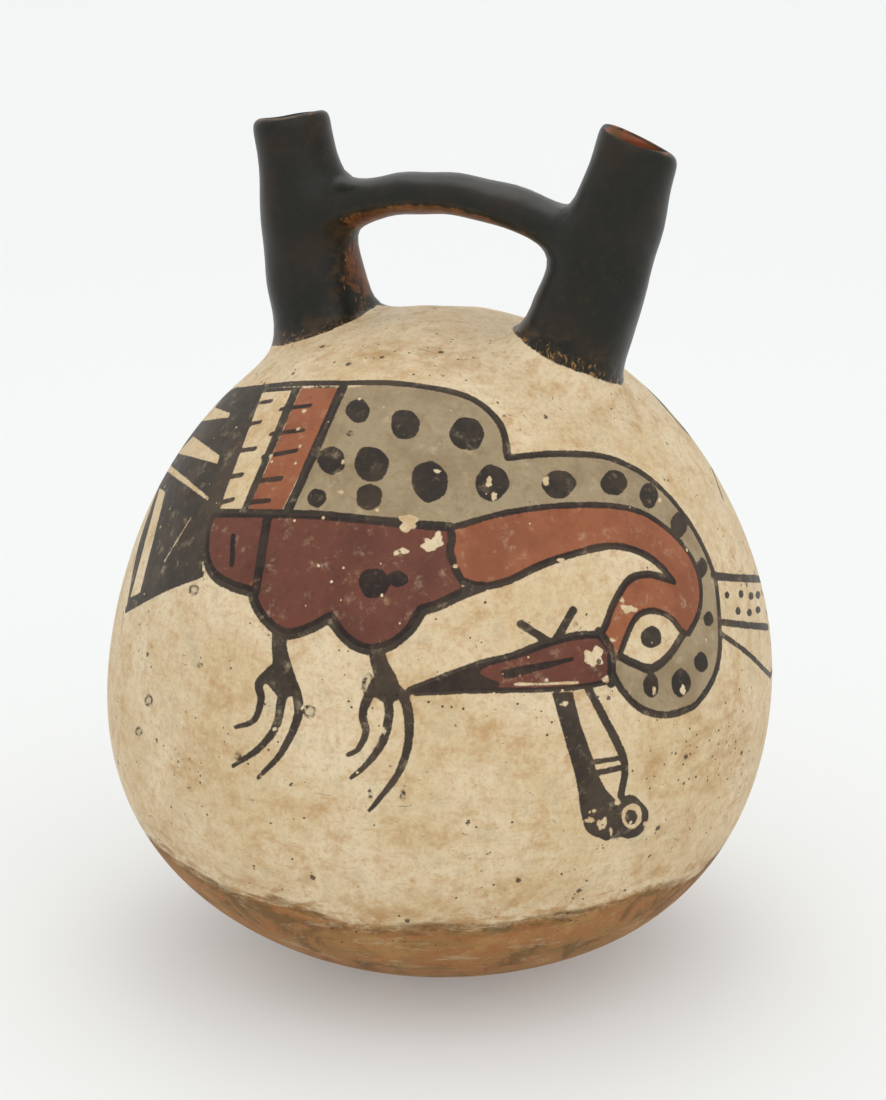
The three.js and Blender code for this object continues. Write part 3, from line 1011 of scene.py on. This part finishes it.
def shade(red, green, blue):
    """A colour as the eye reads it, from 0 to 255, made linear."""
    values = []
    for value in (red, green, blue):
        share = value / 255
        values.append(share / 12.92 if share <= 0.04045 else ((share + 0.055) / 1.055) ** 2.4)
    return (*values, 1.0)


CREAM = shade(208, 185, 145)
CREAM_WARM = shade(182, 142, 92)
CREAM_PALE = shade(222, 203, 169)
CREAM_GREY = shade(184, 168, 136)
OCHRE = shade(168, 126, 74)
SOIL = shade(58, 44, 28)
BARE_CLAY = shade(150, 112, 65)
BARE_RED = shade(156, 104, 60)
BARE_BROWN = shade(106, 78, 42)
INNER_CLAY = shade(150, 78, 50)
GREY_SLIP = shade(156, 138, 108)
GREY_DARK = shade(130, 110, 80)
ORANGE_SLIP = shade(148, 84, 52)
ORANGE_DARK = shade(126, 66, 40)
MAROON_SLIP = shade(104, 54, 40)
MAROON_DARK = shade(82, 40, 30)
BLACK_SLIP = shade(28, 21, 18)
BLACK_BROWN = shade(62, 49, 38)
DARK_SLIP = shade(23, 24, 17)
DARK_BROWN = shade(44, 34, 23)
WORN_DARK = shade(76, 58, 37)
HANDLE_CLAY = shade(112, 66, 36)


class Wiring:
    """A short hand for placing nodes in a tree and joining them."""

    def __init__(self, tree):
        self.tree = tree

    def node(self, kind, **settings):
        made = self.tree.nodes.new(kind)
        for name, value in settings.items():
            setattr(made, name, value)
        return made

    def feed(self, socket, value):
        if isinstance(value, bpy.types.NodeSocket):
            self.tree.links.new(value, socket)
        elif value is not None:
            socket.default_value = value

    def math(self, operation, first, second):
        made = self.node("ShaderNodeMath", operation=operation)
        self.feed(made.inputs[0], first)
        self.feed(made.inputs[1], second)
        return made.outputs[0]

    def joined(self, operation, values):
        total = values[0]
        for value in values[1:]:
            total = self.math(operation, total, value)
        return total

    def times(self, *values):
        return self.joined("MULTIPLY", values)

    def plus(self, *values):
        return self.joined("ADD", values)

    def most(self, *values):
        return self.joined("MAXIMUM", values)

    def less(self, first, second):
        return self.math("SUBTRACT", first, second)

    def step(self, value, low, high):
        """0 below low and 1 above high, with an easy change between; low may be above high."""
        made = self.node("ShaderNodeMapRange", interpolation_type="SMOOTHSTEP")
        for socket, number in zip(made.inputs, (value, low, high, 0.0, 1.0)):
            self.feed(socket, number)
        return made.outputs[0]

    def mix(self, share, first, second):
        made = self.node("ShaderNodeMix", data_type="RGBA")
        self.feed(made.inputs["Factor"], share)
        self.feed(made.inputs[6], first)
        self.feed(made.inputs[7], second)
        return made.outputs[2]

    def tint(self, colour, tone, cloud, start, full, share=1.0):
        """Lays a share of a tone over a colour, from where a cloud starts to where it is full."""
        return self.mix(self.times(self.step(cloud, start, full), share), colour, tone)

    def field(self, name):
        return self.node("ShaderNodeAttribute", attribute_name=name).outputs["Fac"]

    def noise(self, place, size, detail, roughness=0.55, distortion=0.0):
        """Noise whose cells are this many millimetres across."""
        made = self.node("ShaderNodeTexNoise")
        self.feed(made.inputs["Vector"], place)
        made.inputs["Scale"].default_value = 1 / size
        made.inputs["Detail"].default_value = detail
        made.inputs["Roughness"].default_value = roughness
        made.inputs["Distortion"].default_value = distortion
        return made.outputs["Fac"]

    def spots(self, place, size, channel):
        """Distance from the nearest of scattered points, in cells, and each cell's own number."""
        made = self.node("ShaderNodeTexVoronoi")
        self.feed(made.inputs["Vector"], place)
        made.inputs["Scale"].default_value = 1 / size
        parted = self.node("ShaderNodeSeparateColor")
        self.feed(parted.inputs[0], made.outputs["Color"])
        return made.outputs["Distance"], parted.outputs[channel]

    def scaled(self, place, scale):
        made = self.node("ShaderNodeVectorMath", operation="SCALE")
        self.feed(made.inputs[0], place)
        self.feed(made.inputs["Scale"], scale)
        return made.outputs[0]

    def stretched(self, place, scale, turn=(0, 0, 0)):
        made = self.node("ShaderNodeMapping")
        self.feed(made.inputs["Vector"], place)
        made.inputs["Rotation"].default_value = turn
        made.inputs["Scale"].default_value = scale
        return made.outputs[0]

    def use(self, group, **values):
        made = self.node("ShaderNodeGroup", node_tree=group)
        for name, value in values.items():
            self.feed(made.inputs[name], value)
        return made.outputs[0]


def mask_group(name, result, **defaults):
    """An empty node group that takes a place and some numbers, and gives one mask."""
    tree = bpy.data.node_groups.new(name, "ShaderNodeTree")
    tree.interface.new_socket("Place", in_out="INPUT", socket_type="NodeSocketVector")
    for socket_name, value in defaults.items():
        socket = tree.interface.new_socket(socket_name, in_out="INPUT",
                                           socket_type="NodeSocketFloat")
        socket.default_value = value
    tree.interface.new_socket(result, in_out="OUTPUT", socket_type="NodeSocketFloat")
    w = Wiring(tree)
    return w, w.node("NodeGroupInput").outputs, w.node("NodeGroupOutput").inputs[result]


def painted_edge_group():
    """Where a slip covers the wall: its field, frayed a little by the brush and by wear."""
    w, given, cover = mask_group("painted_edge", "Cover", Field=0.0, Wobble=0.3, Fray=0.15,
                                 Softness=0.12)
    broad = w.less(w.noise(given["Place"], size=4.5, detail=2), 0.5)
    fine = w.less(w.noise(given["Place"], size=0.7, detail=3, roughness=0.65), 0.5)
    moved = w.plus(given["Field"], w.times(broad, given["Wobble"]), w.times(fine, given["Fray"]))
    soft = given["Softness"]
    w.feed(cover, w.step(moved, w.times(soft, -1), soft))
    return w.tree


def worn_specks_group():
    """Small lost flakes, more of them where Density is high, as a mask."""
    w, given, mask = mask_group("worn_specks", "Mask", Scale=1.0, Density=0.3)
    place = w.scaled(given["Place"], given["Scale"])
    frayed = w.noise(place, size=0.5, detail=3, roughness=0.6)
    away, chosen = w.spots(place, size=2.2, channel=0)
    radius = w.times(w.step(chosen, w.less(1, given["Density"]), 1), 0.5)
    edge = w.plus(away, w.times(frayed, 0.35), -0.17)
    w.feed(mask, w.step(w.less(radius, edge), 0.0, 0.08))
    return w.tree


def cream_slip(w, place):
    """The burnished cream slip: pale and warm clouds, rubbed streaks and ochre blotches."""
    clouds = w.noise(place, size=24, detail=3, roughness=0.55, distortion=0.4)
    patches = w.noise(place, size=6, detail=5, roughness=0.68, distortion=0.3)
    small = w.noise(place, size=2.4, detail=4, roughness=0.7)
    streaks = w.noise(w.stretched(place, (1, 1, 4)), size=7, detail=5, roughness=0.7)
    rubbed = w.noise(w.stretched(place, (3.2, 3.2, 0.6)), size=5, detail=4, roughness=0.7)
    specks = w.noise(place, size=1.5, detail=4, roughness=0.7)
    grain = w.noise(place, size=0.8, detail=3, roughness=0.7)
    colour = w.tint(CREAM, CREAM_PALE, clouds, start=0.36, full=0.66)
    colour = w.tint(colour, CREAM_WARM, patches, start=0.46, full=0.74, share=0.74)
    colour = w.tint(colour, CREAM_GREY, patches, start=0.46, full=0.32, share=0.50)
    colour = w.tint(colour, CREAM_WARM, small, start=0.50, full=0.78, share=0.60)
    colour = w.tint(colour, CREAM_PALE, small, start=0.47, full=0.30, share=0.55)
    colour = w.tint(colour, CREAM_WARM, streaks, start=0.50, full=0.74, share=0.46)
    colour = w.tint(colour, CREAM_GREY, rubbed, start=0.52, full=0.70, share=0.30)
    in_clouds = w.times(w.step(clouds, 0.40, 0.56), 0.80)
    colour = w.tint(colour, OCHRE, specks, start=0.60, full=0.76, share=in_clouds)
    colour = w.tint(colour, CREAM_WARM, grain, start=0.50, full=0.76, share=0.52)
    return w.tint(colour, CREAM_PALE, grain, start=0.48, full=0.24, share=0.48)


def bare_clay(w, place):
    """The unslipped clay below, smeared round the bottle with ochre and thin slip."""
    bands = w.noise(w.stretched(place, (0.4, 0.4, 2.2)), size=7, detail=6, roughness=0.68,
                    distortion=0.5)
    patches = w.noise(place, size=11, detail=5, roughness=0.62, distortion=0.6)
    smears = w.noise(w.stretched(place, (0.55, 0.55, 1.8)), size=4.5, detail=5, roughness=0.7,
                     distortion=0.8)
    grain = w.noise(place, size=0.8, detail=3, roughness=0.7)
    colour = w.tint(BARE_CLAY, BARE_RED, bands, start=0.42, full=0.60)
    colour = w.tint(colour, OCHRE, patches, start=0.50, full=0.62, share=0.75)
    colour = w.tint(colour, BARE_BROWN, patches, start=0.47, full=0.36, share=0.80)
    colour = w.tint(colour, BARE_BROWN, bands, start=0.48, full=0.32, share=0.60)
    colour = w.tint(colour, CREAM_GREY, smears, start=0.55, full=0.70, share=0.60)
    colour = w.tint(colour, BARE_BROWN, grain, start=0.52, full=0.76, share=0.45)
    return w.tint(colour, CREAM_WARM, grain, start=0.46, full=0.26, share=0.30)


def two_tone(w, place, size, main, second, share):
    """A slip laid on unevenly: two shades in brushed clouds, with a fine grain."""
    cloud = w.noise(place, size=size, detail=4, roughness=0.6)
    touches = w.noise(place, size=2.2, detail=4, roughness=0.72, distortion=0.3)
    grain = w.noise(place, size=0.8, detail=2, roughness=0.7)
    colour = w.tint(main, second, cloud, start=0.42, full=0.66, share=share)
    colour = w.tint(colour, second, touches, start=0.50, full=0.68, share=0.55)
    return w.tint(colour, second, grain, start=0.5, full=0.75, share=0.25)


def slipped_wall(w, place, edge):
    """Cream slip down to its ragged edge, with bare clay below. Gives the wall's colour, where
    slip covers it, and the slip's own colour."""
    slip = w.field("slip")
    # Just below the slip the clay is darkened by ochre-brown dirt.
    dirt = w.step(w.noise(place, size=3, detail=5, roughness=0.7), 0.38, 0.58)
    clay = w.tint(bare_clay(w, place), BARE_BROWN, slip, start=-4.0, full=-1.5,
                  share=w.times(dirt, 0.75))
    # Ochre stain gathers in the slip just above its lower edge, and where soil lies.
    blotch = w.noise(w.stretched(place, (1, 1, 1.8)), size=5, detail=4, roughness=0.65,
                     distortion=0.5)
    near_edge = w.times(w.step(slip, 10.0, -1.0), 0.85)
    cream = w.tint(cream_slip(w, place), OCHRE, blotch, start=0.42, full=0.62, share=near_edge)
    near_soil = w.times(w.step(w.field("soiled"), -6, 4), 0.5)
    cream = w.tint(cream, OCHRE, blotch, start=0.40, full=0.66, share=near_soil)
    brushed = w.noise(w.stretched(place, (0.3, 0.3, 2.2)), size=5, detail=5, roughness=0.66,
                      distortion=0.4)
    frayed = w.plus(slip, w.times(w.plus(brushed, -0.5), 11))
    cover = w.use(edge, Field=frayed, Place=place, Wobble=3.5, Fray=2.4, Softness=1.5)
    colour = w.mix(cover, clay, cream)
    # A dark line of dirt lies along the slip's edge in places.
    along = w.times(w.step(slip, -1.6, -0.3), w.step(slip, 1.6, 0.2), 0.55)
    in_places = w.noise(place, size=9, detail=3)
    colour = w.tint(colour, BARE_BROWN, in_places, start=0.50, full=0.66, share=along)
    return colour, cover, cream


# Pores: how far apart, the share of places without one, and their breadth in cells
PORES = ((2.6, 0.95, 0.30), (1.0, 0.94, 0.34))


def soiled_pores(w, place):
    """Soil left in pores: small dots, gathered where the slip is soiled."""
    thick = w.most(w.step(w.noise(place, size=17, detail=3, roughness=0.6), 0.54, 0.70),
                   w.times(w.step(w.field("soiled"), -3.5, 3), 1.3))
    ragged = w.times(w.noise(place, size=0.45, detail=3, roughness=0.7), 0.5)
    found = []
    for spacing, share, breadth in PORES:
        away, own = w.spots(place, size=spacing, channel=1)
        chosen = w.step(own, w.plus(share, w.times(thick, -0.32)), 1.0)
        depth = w.plus(w.times(chosen, breadth), w.times(w.plus(away, ragged), -1))
        found.append(w.step(depth, -0.22, -0.16))
    return w.most(*found)


def dark_scratches(w, place):
    drawn_out = w.stretched(place, (0.05, 1.6, 1.6), (0.3, 0.6, 0.9))
    scratch = w.noise(drawn_out, size=1.6, detail=2, roughness=0.6, distortion=0.3)
    in_places = w.step(w.noise(place, size=15, detail=2), 0.48, 0.60)
    return w.times(w.step(scratch, 0.68, 0.72), in_places)


# Paint, size of its clouds, its two shades, the share of the second, wobble and fray of its
# edge, and how well it covers
PAINT_COATS = (("grey", 10, GREY_SLIP, GREY_DARK, 0.7, 0.5, 0.30, 0.96),
               ("orange", 12, ORANGE_SLIP, ORANGE_DARK, 0.75, 0.5, 0.30, 0.97),
               ("maroon", 14, MAROON_SLIP, MAROON_DARK, 0.7, 0.5, 0.30, 0.98),
               ("cream", 0, None, None, 0, 0.5, 0.30, 1.0),
               ("black", 9, BLACK_SLIP, BLACK_BROWN, 0.8, 0.42, 0.42, 0.96))


def painted(w, place, edge, colour, cream, flakes):
    """The painted birds over the wall's colour, thin and flaked in places."""
    thin = w.times(w.step(w.noise(place, size=3.4, detail=4, roughness=0.7), 0.54, 0.80), -0.42)
    kept = w.less(1, flakes)
    for name, size, main, second, share, wobble, fray, strength in PAINT_COATS:
        paint = cream if name == "cream" else two_tone(w, place, size, main, second, share)
        cover = w.use(edge, Field=w.field(name), Place=place, Wobble=wobble, Fray=fray,
                      Softness=0.13)
        colour = w.mix(w.times(cover, kept, w.plus(strength, thin)), colour, paint)
    return colour


def stained(w, place, edge, colour):
    """Small rings of soil on the slip."""
    stain = w.use(edge, Field=w.field("stain"), Place=place, Wobble=0.9, Fray=0.8, Softness=0.25)
    ring = w.times(stain, w.step(w.field("stain"), 0.85, 0.35))
    mottled = w.step(w.noise(place, size=0.9, detail=4, roughness=0.7), 0.36, 0.60)
    return w.mix(w.plus(w.times(ring, mottled, 0.85), w.times(stain, 0.15)), colour, SOIL)


def dark_slip(w, place, edge):
    """The spouts' and bridge's dark slip, worn to clay at rims, feet and under the bridge. Gives
    its colour, where it covers and where it is worn away."""
    field = w.field("dark")
    cover = w.use(edge, Field=field, Place=place, Wobble=1.4, Fray=0.9, Softness=0.22)
    cloud = w.noise(place, size=4.2, detail=5, roughness=0.7, distortion=0.6)
    gap_side = w.step(w.field("gap_side"), 0.15, 0.95)
    near_foot = w.step(field, 10.0, 0.5)
    thinned = w.times(w.most(gap_side, near_foot), 0.8)
    colour = two_tone(w, place, 13, DARK_SLIP, DARK_BROWN, 0.6)
    colour = w.tint(colour, WORN_DARK, cloud, start=0.42, full=0.64, share=thinned)
    squarely = w.times(gap_side, gap_side, 0.66)
    bare_under = w.step(w.plus(squarely, w.times(cloud, 1.2)), 1.06, 1.22)
    streaks = w.noise(w.stretched(place, (1.3, 1.3, 0.8)), size=1.5, detail=4, roughness=0.7,
                      distortion=0.6)
    fleck_share = w.times(w.most(gap_side, w.times(near_foot, 1.1)), 0.31)
    colour = w.tint(colour, OCHRE, w.plus(streaks, fleck_share), start=0.88, full=0.96, share=0.6)
    rim_wear = w.step(w.plus(w.times(w.field("rim"), 0.5), w.times(cloud, 1.6)), 2.48, 2.75)
    bared = w.most(bare_under, rim_wear)
    clay = w.tint(HANDLE_CLAY, OCHRE, cloud, start=0.48, full=0.70, share=0.4)
    return w.mix(w.times(bared, 0.8), colour, clay), cover, bared


SATIN = 0.42
SATIN_SPREAD = 0.22
CLAY_DULLER = 0.16
DARK_GLOSSIER = -0.18
BARED_DULLER = 0.12
INSIDE_DULLER = 0.2
WALL_SHINE = 0.25
RELIEF = 0.8


def clay_material():
    material = bpy.data.materials.new("painted_clay")
    material.use_nodes = True
    tree = material.node_tree
    tree.nodes.clear()
    w = Wiring(tree)
    place = w.scaled(w.node("ShaderNodeTexCoord").outputs["Object"], 1 / MILLIMETRE)
    edge = painted_edge_group()

    colour, slip_cover, cream = slipped_wall(w, place, edge)
    pores = soiled_pores(w, place)
    colour = w.mix(w.times(pores, 0.85), colour, SOIL)
    scratches = dark_scratches(w, place)
    colour = w.mix(w.times(scratches, 0.55), colour, SOIL)
    flakes = w.use(worn_specks_group(), Place=place, Scale=2.6, Density=0.009)
    colour = painted(w, place, edge, colour, cream, flakes)
    colour = stained(w, place, edge, colour)
    dark, dark_covers, bared = dark_slip(w, place, edge)
    colour = w.mix(dark_covers, colour, dark)
    depth = w.step(w.field("inside"), 0.25, 0.7)
    patches = w.noise(place, size=5, detail=4)
    inner = w.tint(INNER_CLAY, BARE_BROWN, patches, start=0.4, full=0.6)
    colour = w.mix(depth, colour, inner)

    shader = w.node("ShaderNodeBsdfPrincipled")
    output = w.node("ShaderNodeOutputMaterial")
    tree.links.new(shader.outputs[0], output.inputs[0])
    w.feed(shader.inputs["Base Color"], colour)
    polish = w.noise(place, size=6, detail=4, roughness=0.6)
    rough = w.plus(SATIN, w.times(polish, SATIN_SPREAD),
                   w.times(w.less(1, slip_cover), CLAY_DULLER),
                   w.times(dark_covers, DARK_GLOSSIER), w.times(bared, BARED_DULLER),
                   w.times(depth, INSIDE_DULLER))
    w.feed(shader.inputs["Roughness"], rough)
    shader.inputs["Specular IOR Level"].default_value = WALL_SHINE

    grain = w.noise(place, size=0.55, detail=3, roughness=0.6)
    lumps = w.noise(place, size=3.5, detail=3, roughness=0.55)
    height = w.plus(w.times(lumps, 0.05), w.times(grain, 0.016), w.times(pores, -0.07),
                    w.times(scratches, -0.03), w.times(flakes, -0.015))
    bump = w.node("ShaderNodeBump")
    bump.inputs["Strength"].default_value = RELIEF
    bump.inputs["Distance"].default_value = MILLIMETRE
    w.feed(bump.inputs["Height"], height)
    w.feed(shader.inputs["Normal"], bump.outputs[0])
    return material


def lit_sheet():
    """The floor's pale sheet, lit a little from below so that its shadows stay light."""
    material = bpy.data.materials.new("pale_floor")
    material.use_nodes = True
    shader = material.node_tree.nodes["Principled BSDF"]
    shader.inputs["Base Color"].default_value = FLOOR_COLOUR
    shader.inputs["Roughness"].default_value = FLOOR_ROUGHNESS
    shader.inputs["Emission Color"].default_value = WHITE
    shader.inputs["Emission Strength"].default_value = FLOOR_GLOW
    return material


# Floor, light and camera

FLOOR_COLOUR = shade(211, 213, 212)
FLOOR_GLOW = 0.21
FLOOR_HALF_WIDTH = 6
FLOOR_FRONT = -1.6
SWEEP_START = 0.75
SWEEP_RADIUS = 0.5
SWEEP_HEIGHT = 1.9
SWEEP_STEPS = 12
FLOOR_ROUGHNESS = 0.8
WORLD_LIGHT = 0.92
WHITE = (1.0, 1.0, 1.0, 1.0)


def floor():
    """A pale sheet that runs back and curves up behind the bottle."""
    section = [(FLOOR_FRONT, 0), (SWEEP_START, 0)]
    for i in range(1, SWEEP_STEPS + 1):
        turn = math.pi / 2 * i / SWEEP_STEPS
        section.append((SWEEP_START + SWEEP_RADIUS * math.sin(turn),
                        SWEEP_RADIUS * (1 - math.cos(turn))))
    section.append((SWEEP_START + SWEEP_RADIUS, SWEEP_HEIGHT))
    c, s = math.cos(VIEW_TURN), math.sin(VIEW_TURN)
    points = []
    for back, up in section:
        for side in (-FLOOR_HALF_WIDTH, FLOOR_HALF_WIDTH):
            points.append((side * c - back * s, side * s + back * c, up))
    faces = [(2 * i, 2 * i + 1, 2 * i + 3, 2 * i + 2) for i in range(len(section) - 1)]
    made = mesh_object("floor", points, faces)
    made.data.polygons.foreach_set("use_smooth", np.ones(len(faces), bool))
    made.data.materials.append(lit_sheet())


def area_light(name, turn, drop, reach, size, power):
    """A square light that looks at the bottle from a direction given as for the camera."""
    a, e = math.radians(turn), math.radians(drop)
    back = np.array([math.sin(a) * math.cos(e), -math.cos(a) * math.cos(e), math.sin(e)])
    data = bpy.data.lights.new(name, "AREA")
    data.size = size
    data.energy = power
    lamp = bpy.data.objects.new(name, data)
    lamp.location = back * reach + np.array([0, 0, LOOK_HEIGHT * MILLIMETRE])
    lamp.rotation_euler = Vector(back).to_track_quat("Z", "Y").to_euler()
    bpy.context.scene.collection.objects.link(lamp)


def studio():
    world = bpy.data.worlds.new("studio")
    world.use_nodes = True
    sky = world.node_tree.nodes["Background"]
    sky.inputs["Color"].default_value = WHITE
    sky.inputs["Strength"].default_value = WORLD_LIGHT
    bpy.context.scene.world = world
    area_light("key_light", turn=38, drop=48, reach=1.3, size=1.5, power=3.7)
    area_light("back_light", turn=207, drop=62, reach=1.2, size=0.8, power=1.9)
    bpy.context.scene.view_settings.view_transform = "Standard"


def camera():
    data = bpy.data.cameras.new("camera")
    data.sensor_width = SENSOR
    data.lens = SENSOR * FOCAL_PIXELS / PHOTO_HEIGHT
    data.shift_x = (PHOTO_WIDTH / 2 - AXIS_COLUMN) / PHOTO_HEIGHT
    data.clip_start = 0.01
    placed = bpy.data.objects.new("camera", data)
    placed.location = view_place * MILLIMETRE
    placed.rotation_euler = Vector(view_back).to_track_quat("Z", "Y").to_euler()
    bpy.context.scene.collection.objects.link(placed)
    bpy.context.scene.camera = placed


camera()
studio()
floor()
bottle = bottle_mesh()
bottle.data.materials.append(clay_material())
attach(bottle, "root")
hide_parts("bottle")
